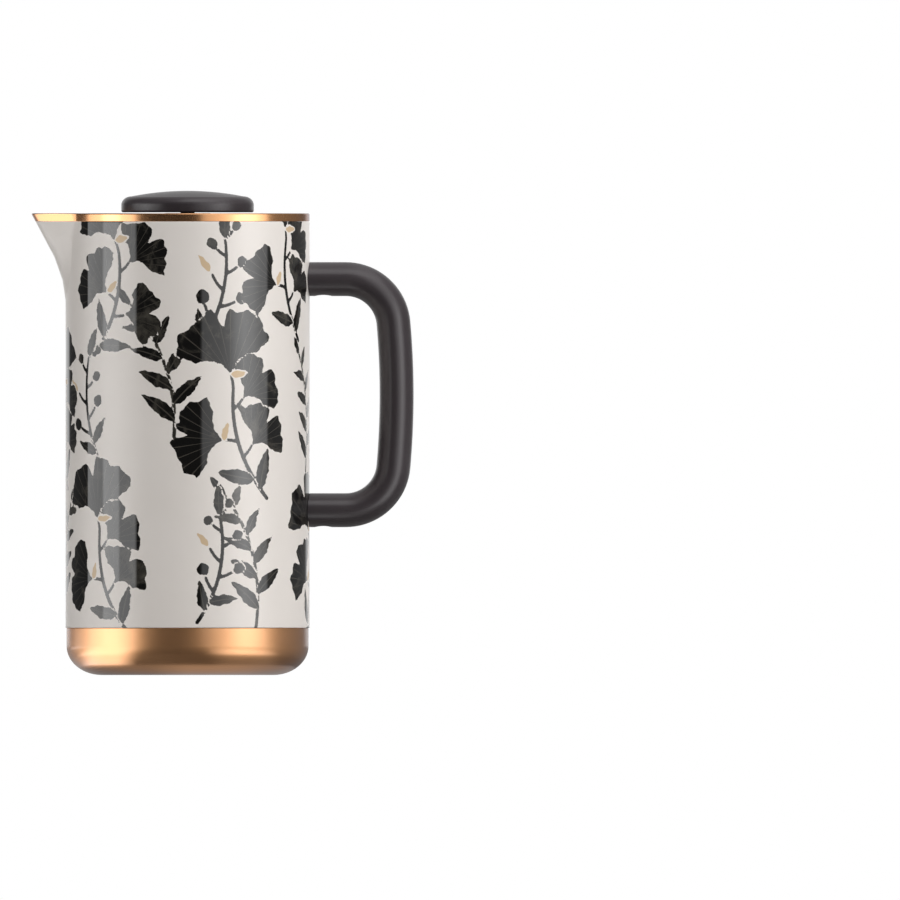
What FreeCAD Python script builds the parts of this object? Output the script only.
import FreeCAD, Part
import math
import os

from FreeCAD import Vector

# Insulated press pot: a double-walled steel jug with a pouring beak, a bent handle, a drop-in lid and a plunger.
# Frame: millimetres, +Z up, origin where the pot's axis meets the surface that it stands on.
# The beak points along -X and the handle along +X.

# Pot walls
BODY_DIAMETER = 102.0
POT_HEIGHT = 193.0
SHEET = 0.6
VACUUM_GAP = 3.4
RIM_HEIGHT = 3.4
RIM_ROUND = 0.6
LINER_FLOOR_HEIGHT = 7.6
LINER_CORNER = 6.0

# Pouring beak, pressed out of both walls
SPOUT_REACH = 14.4
SPOUT_DROP = 29.5
SPOUT_BLEND = 5.0
SPOUT_RIM_SPREAD_DEG = 27.0
SPOUT_FOOT_SPREAD_DEG = 12.0
SPOUT_EDGE_MARGIN_DEG = 3.0
SPOUT_SECTION_POINTS = 25

# Base cup under the shell
BASE_HEIGHT = 19.7
BASE_STEP = 0.4
BASE_SHEET = 0.8
BASE_CORNER_WIDTH = 14.7
BASE_CORNER_HEIGHT = 12.2
SPIGOT_HEIGHT = 5.0
SPIGOT_CLEARANCE = 0.1
FOOT_RING_WIDTH = 1.0
RECESS_DEPTH = 0.8
RECESS_BEVEL = 3.8
DISC_DIAMETER = 26.2
DISC_THICKNESS = 1.2
DISC_CLEARANCE = 0.1
DIMPLE_RADIUS = 4.0
DIMPLE_DEPTH = 1.0
EVACUATION_RADIUS = 1.0
BEAD_CLEARANCE = 0.1
GETTER_RADIUS = 3.5
GETTER_HEIGHT = 1.6

# Handle, its brackets and screws
HANDLE_REACH = 43.5
HANDLE_DROP = 20.4
HANDLE_SPAN = 110.8
HANDLE_THICKNESS = 14.2
HANDLE_WIDTH = 20.0
HANDLE_BEND = 20.0
GRIP_BOW_RADIUS = 340.0
HANDLE_SEAT_CLEARANCE = 0.1
SCREW_SETBACK = 5.8
BRACKET_FOOT = 1.2
BRACKET_FOOT_FLANGE = 1.3
TANG_LENGTH = 10.5
TANG_WIDTH = 10.0
TANG_HEIGHT = 5.0
TANG_CLEARANCE = 0.2
SCREW_RADIUS = 1.5
SCREW_CLEARANCE = 0.2
SCREW_THREAD_GAP = 0.02
SCREW_HEAD_RADIUS = 2.8
SCREW_HEAD_HEIGHT = 2.0
SCREW_KEY_RADIUS = 1.4
SCREW_KEY_DEPTH = 1.2
SCREW_HOLE_RADIUS = 3.55
SCREW_HOLE_FLOOR = 1.2

# Lid
LID_RECESS = 2.6
LID_CLEARANCE = 0.5
COVER_SHEET = 0.8
COVER_LIP = 3.0
COVER_ROUND = 0.5
LID_FIT = 0.1
LID_WEB = 2.0
SKIRT_DEPTH = 34.0
SKIRT_WALL = 2.4
SEAL_HEIGHT = 5.0
SEAL_FOOT = 2.0
SEAL_GROOVE = 1.2
SEAL_RUNNING_GAP = 0.2
SEAL_WALL_GAP = 0.3
SEAL_BAND = 0.9
SLOT_WIDTH = 2.4
SLOT_HEIGHT = 14.0
SLOT_TOP_MARGIN = 3.0
SLOT_PITCH_DEG = 7.0
SLOT_SPREAD_DEG = 28.0
HUB_RADIUS = 9.0
HUB_DEPTH = 8.0
BUSHING_RADIUS = 6.0
BUSHING_FLANGE_RADIUS = 10.0
BUSHING_TAIL = 5.0
BUSHING_NUT_RADIUS = 9.8
BUSHING_NUT_HEIGHT = 4.0
ROD_RUNNING_GAP = 0.05

# Plunger knob and rod
KNOB_DIAMETER = 55.4
KNOB_HEIGHT = 9.0
KNOB_SIDE = 3.1
KNOB_CORNER_WIDTH = 4.3
KNOB_CORNER_HEIGHT = 3.6
KNOB_LIFT = 0.4
KNOB_REST_GAP = 0.3
KNOB_WALL = 2.2
KNOB_CROWN_WALL = 2.4
KNOB_BASE_THICKNESS = 1.6
KNOB_BASE_FIT = 0.1
KNOB_BOSS_RADIUS = 7.5
INSERT_RADIUS = 4.5
INSERT_FIT = 0.05
INSERT_HEIGHT = 5.0
ROD_RADIUS = 3.0
ROD_END_RADIUS = 2.5
ROD_END_GAP = 0.05
ROD_END_STOP = 0.6

# Filter stack at the foot of the rod
FLOOR_GAP = 2.0
FILTER_WALL_GAP = 0.3
HUB_NUT_RADIUS = 8.0
HUB_NUT_HEIGHT = 5.0
HUB_NUT_FLOOR = 1.0
CROSS_PLATE_MARGIN = 3.4
CROSS_PLATE_THICKNESS = 1.2
SCREEN_MARGIN = 0.8
SCREEN_THICKNESS = 0.4
SPIRAL_PLATE_THICKNESS = 1.0
SPIRAL_PLATE_GAP = 0.4
COIL_RADIUS = 2.2
COIL_SEAT_GAP = 0.05
COLLAR_RADIUS = 7.0
COLLAR_HEIGHT = 2.0
INNER_HOLE_RADIUS = 4.0
OUTER_HOLE_RADIUS = 5.5
HOLE_WEB = 2.4
HOLE_RING_GAP = 3.0

# Sizes that follow from those above
AXIS = Vector(0, 0, 1)
BODY_RADIUS = BODY_DIAMETER / 2
LINER_RADIUS = BODY_RADIUS - SHEET - VACUUM_GAP
MOUTH_RADIUS = LINER_RADIUS - SHEET
WALL_TOP = POT_HEIGHT - RIM_HEIGHT
SPOUT_START = POT_HEIGHT - SPOUT_DROP
BASE_RADIUS = BODY_RADIUS - BASE_STEP
SPIGOT_RADIUS = BODY_RADIUS - SHEET - SPIGOT_CLEARANCE
DISC_RADIUS = DISC_DIAMETER / 2
POCKET_RADIUS = DISC_RADIUS + DISC_CLEARANCE
POCKET_ROOF = RECESS_DEPTH + DISC_THICKNESS
DIMPLE_ROOF = POCKET_ROOF + DIMPLE_DEPTH
FOOT_OUTER_RADIUS = BASE_RADIUS - BASE_CORNER_WIDTH
FOOT_INNER_RADIUS = FOOT_OUTER_RADIUS - FOOT_RING_WIDTH
RECESS_RADIUS = FOOT_INNER_RADIUS - RECESS_BEVEL

UPPER_ARM = POT_HEIGHT - HANDLE_DROP - HANDLE_THICKNESS / 2
LOWER_ARM = UPPER_ARM - (HANDLE_SPAN - HANDLE_THICKNESS)
ARM_HEIGHTS = (UPPER_ARM, LOWER_ARM)
SCREW_X = BODY_RADIUS + SCREW_SETBACK
TANG_END = BODY_RADIUS + BRACKET_FOOT + TANG_LENGTH

COVER_TOP = POT_HEIGHT - LID_RECESS
WEB_TOP = COVER_TOP - COVER_SHEET
LID_RADIUS = MOUTH_RADIUS - LID_CLEARANCE
SKIRT_RADIUS = LID_RADIUS - COVER_SHEET - LID_FIT
SKIRT_BOTTOM = WEB_TOP - LID_WEB - SKIRT_DEPTH
SEAL_BOTTOM = SKIRT_BOTTOM + SEAL_FOOT
HUB_BOTTOM = WEB_TOP - LID_WEB - HUB_DEPTH
KNOB_BOTTOM = POT_HEIGHT + KNOB_LIFT
KNOB_RADIUS = KNOB_DIAMETER / 2
KNOB_TOP = KNOB_BOTTOM + KNOB_HEIGHT

HUB_NUT_BOTTOM = LINER_FLOOR_HEIGHT + FLOOR_GAP
CROSS_PLATE_BOTTOM = HUB_NUT_BOTTOM + HUB_NUT_HEIGHT
SCREEN_BOTTOM = CROSS_PLATE_BOTTOM + CROSS_PLATE_THICKNESS
SPIRAL_PLATE_BOTTOM = SCREEN_BOTTOM + SCREEN_THICKNESS
COLLAR_BOTTOM = SPIRAL_PLATE_BOTTOM + SPIRAL_PLATE_THICKNESS
COLLAR_TOP = COLLAR_BOTTOM + COLLAR_HEIGHT
COIL_RING_RADIUS = MOUTH_RADIUS - FILTER_WALL_GAP - COIL_RADIUS
ROD_BORE = ROD_END_RADIUS + ROD_END_GAP


def outline(points):
    """Closed wire of straight edges through (radius, height) points in the XZ plane."""
    corners = [Vector(r, 0, z) for r, z in points]
    return Part.makePolygon(corners + corners[:1])


def turned(wire):
    """Solid of revolution of a closed XZ wire about the pot's axis."""
    return Part.Face(wire).revolve(Vector(0, 0, 0), AXIS, 360)


def cylinder(radius, bottom, top, x=0.0, y=0.0):
    """Upright cylinder between two heights."""
    return Part.makeCylinder(radius, top - bottom, Vector(x, y, bottom), AXIS)


def tube(inner, outer, bottom, top):
    """Upright ring between two heights."""
    return turned(outline([(inner, bottom), (outer, bottom), (outer, top), (inner, top)]))


def hexagon_prism(radius, bottom, top, x=0.0):
    """Upright six-sided bar; radius reaches to its corners."""
    angles = [math.radians(60 * i) for i in range(6)]
    corners = [Vector(x + radius * math.cos(a), radius * math.sin(a), bottom) for a in angles]
    face = Part.Face(Part.makePolygon(corners + corners[:1]))
    return face.extrude(Vector(0, 0, top - bottom))


def box(low, high):
    """Box between two corners."""
    return Part.makeBox(high[0] - low[0], high[1] - low[1], high[2] - low[2], Vector(*low))


def quarter_ellipse(centre, width, height, start_deg):
    """Edge of a quarter of an ellipse in the XZ plane, from start_deg on; width lies along X."""
    def point(angle_deg):
        angle = math.radians(angle_deg)
        return Vector(centre[0] + width * math.cos(angle), 0, centre[1] + height * math.sin(angle))

    major, minor = point(0), point(90)
    if height > width:
        major, minor = minor, major
    ellipse = Part.Ellipse(major, minor, Vector(centre[0], 0, centre[1]))
    first = ellipse.parameter(point(start_deg))
    last = ellipse.parameter(point(start_deg + 90))
    quarter = math.pi / 2
    if abs((last - first) % (2 * math.pi) - quarter) > quarter / 2:
        first, last = last, first
    return Part.Arc(ellipse, first, first + quarter).toShape()


def edge(start, end):
    """Straight XZ edge between two (radius, height) points."""
    return Part.LineSegment(Vector(start[0], 0, start[1]), Vector(end[0], 0, end[1])).toShape()


def edges(points):
    """Straight XZ edges through a run of (radius, height) points."""
    return [edge(a, b) for a, b in zip(points, points[1:])]


def closed_wire(parts):
    """One closed wire of edges given in any order."""
    return Part.Wire(Part.__sortEdges__(parts))


# Pot walls with the beak

def spout_rise(z):
    """How far the beak stands out of the round wall at a height: a soft start, then a straight front."""
    climb = z - SPOUT_START
    slope = SPOUT_REACH / (SPOUT_DROP - SPOUT_BLEND / 2)
    if climb <= 0:
        return 0.0
    if climb < SPOUT_BLEND:
        return slope * climb**2 / (2 * SPOUT_BLEND)
    return slope * (climb - SPOUT_BLEND / 2)


def spout_spread_deg(z):
    """Half the angle that the beak takes up at a height."""
    share = min(max((z - SPOUT_START) / SPOUT_DROP, 0), 1)
    return SPOUT_FOOT_SPREAD_DEG + share * (SPOUT_RIM_SPREAD_DEG - SPOUT_FOOT_SPREAD_DEG)


def wall_point(radius, z, turn_deg):
    """Point of a wall of that radius; turn_deg is counted from the beak's middle."""
    share = abs(turn_deg) / spout_spread_deg(z)
    swell = math.cos(math.pi / 2 * share) ** 2 if share < 1 else 0.0
    reach = radius + spout_rise(z) * swell
    angle = math.pi + math.radians(turn_deg)
    return Vector(reach * math.cos(angle), reach * math.sin(angle), z)


def wall_section(radius, z):
    """Level closed wire round a wall: a spline over the beak and an arc round the rest."""
    side = SPOUT_RIM_SPREAD_DEG + SPOUT_EDGE_MARGIN_DEG
    step = 2 * side / (SPOUT_SECTION_POINTS - 1)
    turns = [-side + step * i for i in range(SPOUT_SECTION_POINTS)]
    points = [wall_point(radius, z, turn) for turn in turns]
    start, end = points[0], points[-1]
    beak = Part.BSplineCurve()
    beak.interpolate(
        Points=points,
        InitialTangent=Vector(-start.y, start.x, 0),
        FinalTangent=Vector(-end.y, end.x, 0),
    )
    back = Part.Arc(end, wall_point(radius, z, 180), start)
    return Part.Wire([beak.toShape(), back.toShape()])


def wall_levels(bottom, top):
    """Heights at which a wall from bottom to top needs a section."""
    soft = [SPOUT_START + SPOUT_BLEND * k / 3 for k in range(4)]
    front = SPOUT_DROP - SPOUT_BLEND
    straight = [SPOUT_START + SPOUT_BLEND + front * k / 4 for k in range(1, 4)]
    return [bottom] + [z for z in soft + straight if bottom < z < top] + [top]


def lofted(sections):
    """Solid through (radius, height) sections of the beaked wall."""
    return Part.makeLoft([wall_section(r, z) for r, z in sections], True, True)


def plain_wall(radius, bottom, top):
    """Solid of the beaked wall at one radius between two heights."""
    return lofted([(radius, z) for z in wall_levels(bottom, top)])


def outer_shell():
    outside = plain_wall(BODY_RADIUS, BASE_HEIGHT, WALL_TOP)
    inside = plain_wall(BODY_RADIUS - SHEET, BASE_HEIGHT - SHEET, WALL_TOP + SHEET)
    return outside.cut(inside)


def dished(radius, bottom, corner, top):
    """Solid of the beaked wall with a rounded bottom corner."""
    steps = [math.radians(a) for a in (0, 22.5, 45, 67.5, 90)]
    round_part = [(radius - corner * (1 - math.sin(a)), bottom + corner * (1 - math.cos(a))) for a in steps]
    above = wall_levels(bottom + corner, top)[1:]
    return lofted(round_part + [(radius, z) for z in above])


def inner_liner():
    outside = dished(LINER_RADIUS, LINER_FLOOR_HEIGHT - SHEET, LINER_CORNER, WALL_TOP)
    inside = dished(MOUTH_RADIUS, LINER_FLOOR_HEIGHT, LINER_CORNER - SHEET, WALL_TOP + SHEET)
    return outside.cut(inside)


def rim_band():
    steps = [math.radians(a) for a in (0, 30, 60, 90)]
    heights = [POT_HEIGHT - RIM_ROUND * (1 - math.sin(a)) for a in steps]
    insets = [RIM_ROUND * (1 - math.cos(a)) for a in steps]
    outside = [(BODY_RADIUS, WALL_TOP)]
    inside = [(MOUTH_RADIUS, WALL_TOP - SHEET)]
    for z, inset in zip(heights, insets):
        outside.append((BODY_RADIUS - inset, z))
        inside.append((MOUTH_RADIUS + inset, z))
    inside.append((MOUTH_RADIUS + RIM_ROUND, POT_HEIGHT + SHEET))
    return lofted(outside).cut(lofted(inside))


# Base

def base_cup():
    inner_wall = SPIGOT_RADIUS - BASE_SHEET
    spigot_top = BASE_HEIGHT + SPIGOT_HEIGHT
    t = BASE_SHEET
    corner = (FOOT_OUTER_RADIUS, BASE_CORNER_HEIGHT)
    below = edges([
        (EVACUATION_RADIUS, DIMPLE_ROOF),
        (DIMPLE_RADIUS, DIMPLE_ROOF),
        (DIMPLE_RADIUS, POCKET_ROOF),
        (POCKET_RADIUS, POCKET_ROOF),
        (POCKET_RADIUS, RECESS_DEPTH),
        (RECESS_RADIUS, RECESS_DEPTH),
        (FOOT_INNER_RADIUS, 0),
        (FOOT_OUTER_RADIUS, 0),
    ])
    side = edges([
        (BASE_RADIUS, BASE_CORNER_HEIGHT),
        (BASE_RADIUS, BASE_HEIGHT),
        (SPIGOT_RADIUS, BASE_HEIGHT),
        (SPIGOT_RADIUS, spigot_top),
        (inner_wall, spigot_top),
        (inner_wall, BASE_CORNER_HEIGHT),
    ])
    above = edges([
        (FOOT_OUTER_RADIUS, t),
        (FOOT_INNER_RADIUS, t),
        (RECESS_RADIUS, RECESS_DEPTH + t),
        (POCKET_RADIUS + t, RECESS_DEPTH + t),
        (POCKET_RADIUS + t, POCKET_ROOF + t),
        (DIMPLE_RADIUS + t, POCKET_ROOF + t),
        (DIMPLE_RADIUS + t, DIMPLE_ROOF + t),
        (EVACUATION_RADIUS, DIMPLE_ROOF + t),
        (EVACUATION_RADIUS, DIMPLE_ROOF),
    ])
    outer_round = quarter_ellipse(corner, BASE_CORNER_WIDTH, BASE_CORNER_HEIGHT, 270)
    inner_round = quarter_ellipse(corner, inner_wall - FOOT_OUTER_RADIUS, BASE_CORNER_HEIGHT - t, 270)
    return turned(closed_wire(below + [outer_round] + side + [inner_round] + above))


def base_disc():
    return cylinder(DISC_RADIUS, RECESS_DEPTH, POCKET_ROOF)


def seal_bead():
    head = cylinder(DIMPLE_RADIUS - BEAD_CLEARANCE, POCKET_ROOF + BEAD_CLEARANCE, DIMPLE_ROOF)
    stem = cylinder(EVACUATION_RADIUS - BEAD_CLEARANCE, DIMPLE_ROOF, DIMPLE_ROOF + BASE_SHEET)
    return head.fuse(stem).removeSplitter()


def getter_pellet():
    seat = RECESS_DEPTH + BASE_SHEET
    across = (POCKET_RADIUS + BASE_SHEET + RECESS_RADIUS) / 2
    return cylinder(GETTER_RADIUS, seat, seat + GETTER_HEIGHT, x=across)


# Handle

def handle_path():
    """Centre line in the XZ plane: arm, bend, bowed grip, bend, arm."""
    middle = (UPPER_ARM + LOWER_ARM) / 2
    half = (UPPER_ARM - LOWER_ARM) / 2
    start_x = BODY_RADIUS - HANDLE_THICKNESS / 2
    grip_x = BODY_RADIUS + HANDLE_REACH - HANDLE_THICKNESS / 2
    bow_x = grip_x - GRIP_BOW_RADIUS
    rise = half - HANDLE_BEND
    bend_x = bow_x + math.sqrt((GRIP_BOW_RADIUS - HANDLE_BEND) ** 2 - rise**2)
    tilt = math.asin(rise / (GRIP_BOW_RADIUS - HANDLE_BEND))

    def at(x, offset):
        return Vector(x, 0, middle + offset)

    def on_bend(angle, side):
        return at(bend_x + HANDLE_BEND * math.cos(angle), side * (rise + HANDLE_BEND * math.sin(angle)))

    half_turn = (math.pi / 2 + tilt) / 2
    line = Part.LineSegment
    return Part.Wire([
        line(at(start_x, half), at(bend_x, half)).toShape(),
        Part.Arc(at(bend_x, half), on_bend(half_turn, 1), on_bend(tilt, 1)).toShape(),
        Part.Arc(on_bend(tilt, 1), at(grip_x, 0), on_bend(tilt, -1)).toShape(),
        Part.Arc(on_bend(tilt, -1), on_bend(half_turn, -1), at(bend_x, -half)).toShape(),
        line(at(bend_x, -half), at(start_x, -half)).toShape(),
    ])


def handle_section():
    """Oval across the upper arm where the path starts."""
    centre = Vector(BODY_RADIUS - HANDLE_THICKNESS / 2, 0, UPPER_ARM)
    across = centre + Vector(0, HANDLE_WIDTH / 2, 0)
    upright = centre + Vector(0, 0, HANDLE_THICKNESS / 2)
    return Part.Wire([Part.Ellipse(across, upright, centre).toShape()])


def bracket_block(arm, clearance):
    """A bracket's outside, or with a clearance the room for it in an arm of the handle."""
    half_width = TANG_WIDTH / 2 + clearance
    half_height = TANG_HEIGHT / 2 + clearance
    flange = BRACKET_FOOT_FLANGE
    back = BODY_RADIUS - HANDLE_THICKNESS / 2
    foot = box(
        (back, -half_width - flange, arm - half_height - flange),
        (BODY_RADIUS + BRACKET_FOOT + clearance, half_width + flange, arm + half_height + flange),
    )
    tang = box(
        (back, -half_width, arm - half_height),
        (TANG_END + clearance, half_width, arm + half_height),
    )
    return foot.fuse(tang).removeSplitter()


def screw_hole(arm):
    """Stepped screw hole up through the underside of an arm."""
    underside = arm - HANDLE_THICKNESS / 2
    seat = arm - TANG_HEIGHT / 2 - TANG_CLEARANCE - SCREW_HOLE_FLOOR
    wide = cylinder(SCREW_HOLE_RADIUS, underside - HANDLE_THICKNESS, seat, x=SCREW_X)
    narrow = cylinder(SCREW_RADIUS + SCREW_CLEARANCE, seat - SCREW_CLEARANCE, arm, x=SCREW_X)
    return wide.fuse(narrow)


def handle():
    bar = handle_path().makePipeShell([handle_section()], True, False)
    bar = bar.cut(cylinder(BODY_RADIUS + HANDLE_SEAT_CLEARANCE, 0, POT_HEIGHT))
    for arm in ARM_HEIGHTS:
        bar = bar.cut(bracket_block(arm, TANG_CLEARANCE)).cut(screw_hole(arm))
    return bar


def handle_bracket(arm):
    block = bracket_block(arm, 0).cut(cylinder(BODY_RADIUS, 0, POT_HEIGHT))
    thread = cylinder(SCREW_RADIUS + SCREW_THREAD_GAP, arm - TANG_HEIGHT, arm + TANG_HEIGHT, x=SCREW_X)
    return block.cut(thread)


def handle_screw(arm):
    seat = arm - TANG_HEIGHT / 2 - TANG_CLEARANCE - SCREW_HOLE_FLOOR
    head = cylinder(SCREW_HEAD_RADIUS, seat - SCREW_HEAD_HEIGHT, seat, x=SCREW_X)
    shank = cylinder(SCREW_RADIUS, seat, arm + TANG_HEIGHT / 2, x=SCREW_X)
    key = hexagon_prism(
        SCREW_KEY_RADIUS, seat - SCREW_HEAD_HEIGHT, seat - SCREW_HEAD_HEIGHT + SCREW_KEY_DEPTH, x=SCREW_X
    )
    return head.fuse(shank).removeSplitter().cut(key)


def handle_screws():
    return Part.makeCompound([handle_screw(arm) for arm in ARM_HEIGHTS])


# Lid

def lid_cover():
    hole = BUSHING_RADIUS + LID_FIT
    lip_bottom = COVER_TOP - COVER_LIP
    lip_inside = LID_RADIUS - COVER_SHEET
    cover = turned(outline([
        (hole, WEB_TOP),
        (lip_inside, WEB_TOP),
        (lip_inside, lip_bottom),
        (LID_RADIUS, lip_bottom),
        (LID_RADIUS, COVER_TOP),
        (hole, COVER_TOP),
    ]))
    rim = [e for e in cover.Edges if abs(e.BoundBox.ZMin - COVER_TOP) < 1e-6 and e.BoundBox.XMax > lip_inside]
    return cover.makeFillet(COVER_ROUND, rim)


def lid_body():
    bore = BUSHING_RADIUS + LID_FIT
    inside = SKIRT_RADIUS - SKIRT_WALL
    web_bottom = WEB_TOP - LID_WEB
    seal_top = SEAL_BOTTOM + SEAL_HEIGHT
    groove = SKIRT_RADIUS - SEAL_GROOVE
    body = turned(outline([
        (bore, WEB_TOP),
        (SKIRT_RADIUS, WEB_TOP),
        (SKIRT_RADIUS, seal_top),
        (groove, seal_top),
        (groove, SEAL_BOTTOM),
        (SKIRT_RADIUS, SEAL_BOTTOM),
        (SKIRT_RADIUS, SKIRT_BOTTOM),
        (inside, SKIRT_BOTTOM),
        (inside, web_bottom),
        (HUB_RADIUS, web_bottom),
        (HUB_RADIUS, HUB_BOTTOM),
        (bore, HUB_BOTTOM),
    ]))
    slot_top = web_bottom - SLOT_TOP_MARGIN
    slot = box(
        (-SKIRT_RADIUS - SKIRT_WALL, -SLOT_WIDTH / 2, slot_top - SLOT_HEIGHT),
        (-inside + SKIRT_WALL, SLOT_WIDTH / 2, slot_top),
    )
    each_side = int(SLOT_SPREAD_DEG / SLOT_PITCH_DEG)
    for k in range(-each_side, each_side + 1):
        turned_slot = slot.copy()
        turned_slot.rotate(Vector(0, 0, 0), AXIS, k * SLOT_PITCH_DEG)
        body = body.cut(turned_slot)
    return body


def lid_seal():
    """Silicone ring with two wiping lips, loose enough for the lid to turn in it."""
    bottom = SEAL_BOTTOM + SEAL_RUNNING_GAP
    top = SEAL_BOTTOM + SEAL_HEIGHT - SEAL_RUNNING_GAP
    inside = SKIRT_RADIUS - SEAL_GROOVE + SEAL_RUNNING_GAP
    tip = MOUTH_RADIUS - SEAL_WALL_GAP
    band = inside + SEAL_BAND
    lip = (top - bottom) / 5
    return turned(outline([
        (inside, bottom),
        (band, bottom),
        (tip, bottom + lip),
        (band, bottom + 2 * lip),
        (band, top - 2 * lip),
        (tip, top - lip),
        (band, top),
        (inside, top),
    ]))


def rod_bushing():
    bore = ROD_RADIUS + ROD_RUNNING_GAP
    flange_top = KNOB_BOTTOM - KNOB_REST_GAP
    tail = HUB_BOTTOM - BUSHING_TAIL
    return turned(outline([
        (bore, tail),
        (BUSHING_RADIUS, tail),
        (BUSHING_RADIUS, COVER_TOP),
        (BUSHING_FLANGE_RADIUS, COVER_TOP),
        (BUSHING_FLANGE_RADIUS, flange_top),
        (bore, flange_top),
    ]))


def bushing_nut():
    nut = hexagon_prism(BUSHING_NUT_RADIUS, HUB_BOTTOM - BUSHING_NUT_HEIGHT, HUB_BOTTOM)
    return nut.cut(cylinder(BUSHING_RADIUS + LID_FIT, HUB_BOTTOM - 2 * BUSHING_NUT_HEIGHT, HUB_BOTTOM + LID_WEB))


# Plunger

def knob_crown(inset_top):
    """Arc of the knob's dome from its shoulder to its top, as an edge."""
    shoulder_r = KNOB_RADIUS - KNOB_CORNER_WIDTH
    shoulder_z = KNOB_BOTTOM + KNOB_SIDE + KNOB_CORNER_HEIGHT
    rise = inset_top - shoulder_z
    dome = (shoulder_r**2 + rise**2) / (2 * rise)
    half = math.asin(shoulder_r / dome) / 2
    middle = Vector(dome * math.sin(half), 0, inset_top - dome * (1 - math.cos(half)))
    return Part.Arc(Vector(shoulder_r, 0, shoulder_z), middle, Vector(0, 0, inset_top)).toShape()


def plunger_knob():
    side_top = KNOB_BOTTOM + KNOB_SIDE
    corner = (KNOB_RADIUS - KNOB_CORNER_WIDTH, side_top)
    round_edge = quarter_ellipse(corner, KNOB_CORNER_WIDTH, KNOB_CORNER_HEIGHT, 0)
    solid = turned(closed_wire(
        edges([(0, KNOB_TOP), (0, KNOB_BOTTOM), (KNOB_RADIUS, KNOB_BOTTOM), (KNOB_RADIUS, side_top)])
        + [round_edge, knob_crown(KNOB_TOP)]
    ))
    roof = KNOB_TOP - (KNOB_HEIGHT - KNOB_SIDE - KNOB_CORNER_HEIGHT) - KNOB_CROWN_WALL
    hollow = tube(KNOB_BOSS_RADIUS, KNOB_RADIUS - KNOB_WALL, KNOB_BOTTOM - KNOB_WALL, roof)
    socket = cylinder(INSERT_RADIUS + INSERT_FIT, KNOB_BOTTOM - KNOB_WALL, KNOB_BOTTOM + INSERT_HEIGHT)
    return solid.cut(hollow).cut(socket)


def knob_base():
    return tube(
        KNOB_BOSS_RADIUS + KNOB_BASE_FIT,
        KNOB_RADIUS - KNOB_WALL - KNOB_BASE_FIT,
        KNOB_BOTTOM,
        KNOB_BOTTOM + KNOB_BASE_THICKNESS,
    )


def knob_insert():
    return tube(ROD_BORE, INSERT_RADIUS, KNOB_BOTTOM, KNOB_BOTTOM + INSERT_HEIGHT)


def plunger_rod():
    tip = HUB_NUT_BOTTOM + HUB_NUT_FLOOR
    top = KNOB_BOTTOM + INSERT_HEIGHT - ROD_END_STOP
    return turned(outline([
        (0, tip),
        (ROD_END_RADIUS, tip),
        (ROD_END_RADIUS, COLLAR_BOTTOM),
        (COLLAR_RADIUS, COLLAR_BOTTOM),
        (COLLAR_RADIUS, COLLAR_TOP),
        (ROD_RADIUS, COLLAR_TOP),
        (ROD_RADIUS, KNOB_BOTTOM),
        (ROD_END_RADIUS, KNOB_BOTTOM),
        (ROD_END_RADIUS, top),
        (0, top),
    ]))


def hole_ring(hole_radius, ring_radius, bottom, top):
    """Upright hole cutters evenly spaced on a ring, as many as leave a web between them."""
    count = int(2 * math.pi * ring_radius / (2 * hole_radius + HOLE_WEB))
    turns = [2 * math.pi * k / count for k in range(count)]
    return [
        cylinder(hole_radius, bottom, top, ring_radius * math.cos(a), ring_radius * math.sin(a))
        for a in turns
    ]


def pierced_plate(radius, bottom, thickness):
    """Round plate with two rings of holes and a hole for the rod's end."""
    top = bottom + thickness
    plate = tube(ROD_BORE, radius, bottom, top)
    inner_ring = max(COLLAR_RADIUS, HUB_NUT_RADIUS) + HOLE_WEB + INNER_HOLE_RADIUS
    outer_ring = inner_ring + INNER_HOLE_RADIUS + HOLE_RING_GAP + OUTER_HOLE_RADIUS
    cutters = hole_ring(INNER_HOLE_RADIUS, inner_ring, bottom - thickness, top + thickness)
    cutters += hole_ring(OUTER_HOLE_RADIUS, outer_ring, bottom - thickness, top + thickness)
    return plate.cut(Part.makeCompound(cutters))


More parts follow.
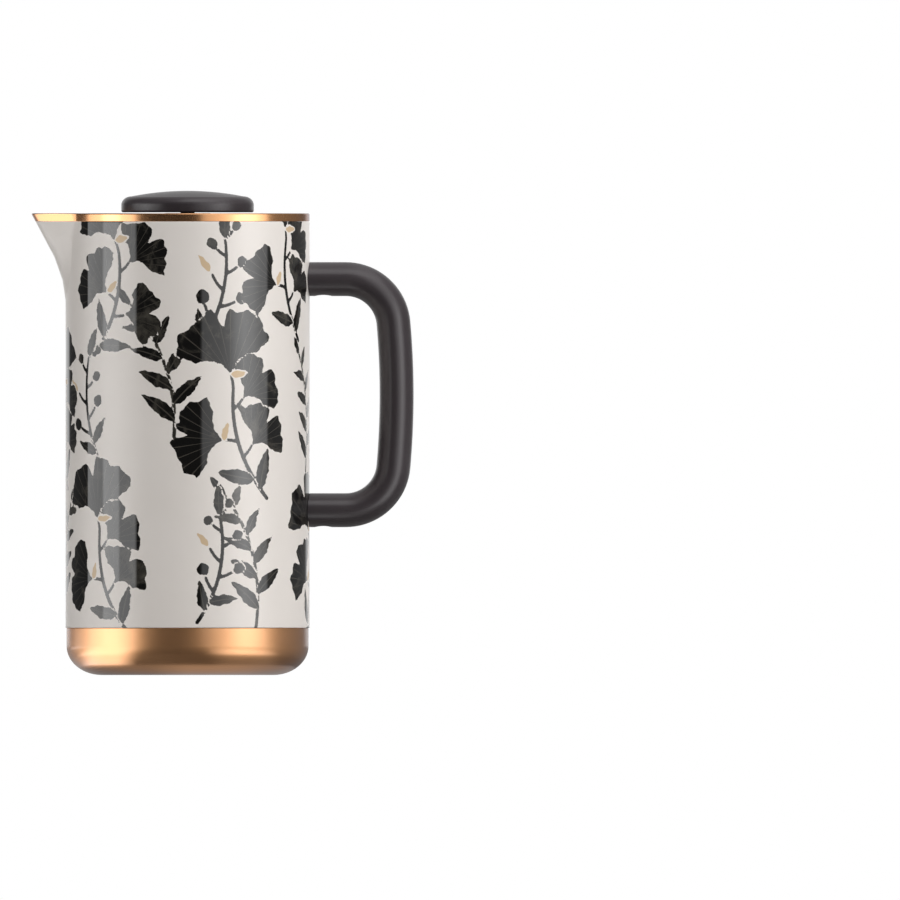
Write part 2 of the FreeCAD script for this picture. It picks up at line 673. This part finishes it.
def spiral_plate():
    radius = COIL_RING_RADIUS - COIL_RADIUS - SPIRAL_PLATE_GAP
    return pierced_plate(radius, SPIRAL_PLATE_BOTTOM, SPIRAL_PLATE_THICKNESS)


def edge_spring():
    """Ring of the coil spring that presses the screen to the wall, as its outer shape."""
    height = SPIRAL_PLATE_BOTTOM + COIL_RADIUS + COIL_SEAT_GAP
    return Part.makeTorus(COIL_RING_RADIUS, COIL_RADIUS, Vector(0, 0, height), AXIS)


def filter_screen():
    return tube(ROD_BORE, MOUTH_RADIUS - SCREEN_MARGIN, SCREEN_BOTTOM, SPIRAL_PLATE_BOTTOM)


def cross_plate():
    return pierced_plate(MOUTH_RADIUS - CROSS_PLATE_MARGIN, CROSS_PLATE_BOTTOM, CROSS_PLATE_THICKNESS)


def hub_nut():
    nut = hexagon_prism(HUB_NUT_RADIUS, HUB_NUT_BOTTOM, CROSS_PLATE_BOTTOM)
    return nut.cut(cylinder(ROD_BORE, HUB_NUT_BOTTOM + HUB_NUT_FLOOR, SPIRAL_PLATE_BOTTOM))


PIECES = {
    "outer_shell": outer_shell,
    "inner_liner": inner_liner,
    "rim_band": rim_band,
    "base_cup": base_cup,
    "base_disc": base_disc,
    "seal_bead": seal_bead,
    "getter_pellet": getter_pellet,
    "handle": handle,
    "upper_handle_bracket": lambda: handle_bracket(UPPER_ARM),
    "lower_handle_bracket": lambda: handle_bracket(LOWER_ARM),
    "handle_screws": handle_screws,
    "lid_cover": lid_cover,
    "lid_body": lid_body,
    "lid_seal": lid_seal,
    "rod_bushing": rod_bushing,
    "bushing_nut": bushing_nut,
    "plunger_knob": plunger_knob,
    "knob_base": knob_base,
    "knob_insert": knob_insert,
    "plunger_rod": plunger_rod,
    "spiral_plate": spiral_plate,
    "edge_spring": edge_spring,
    "filter_screen": filter_screen,
    "cross_plate": cross_plate,
    "hub_nut": hub_nut,
}

os.makedirs("parts", exist_ok=True)
for name, make in PIECES.items():
    shape = make()
    shape.exportStep(f"parts/{name}.step")
    print(name, len(shape.Solids), shape.isValid(), round(shape.Volume, 1))
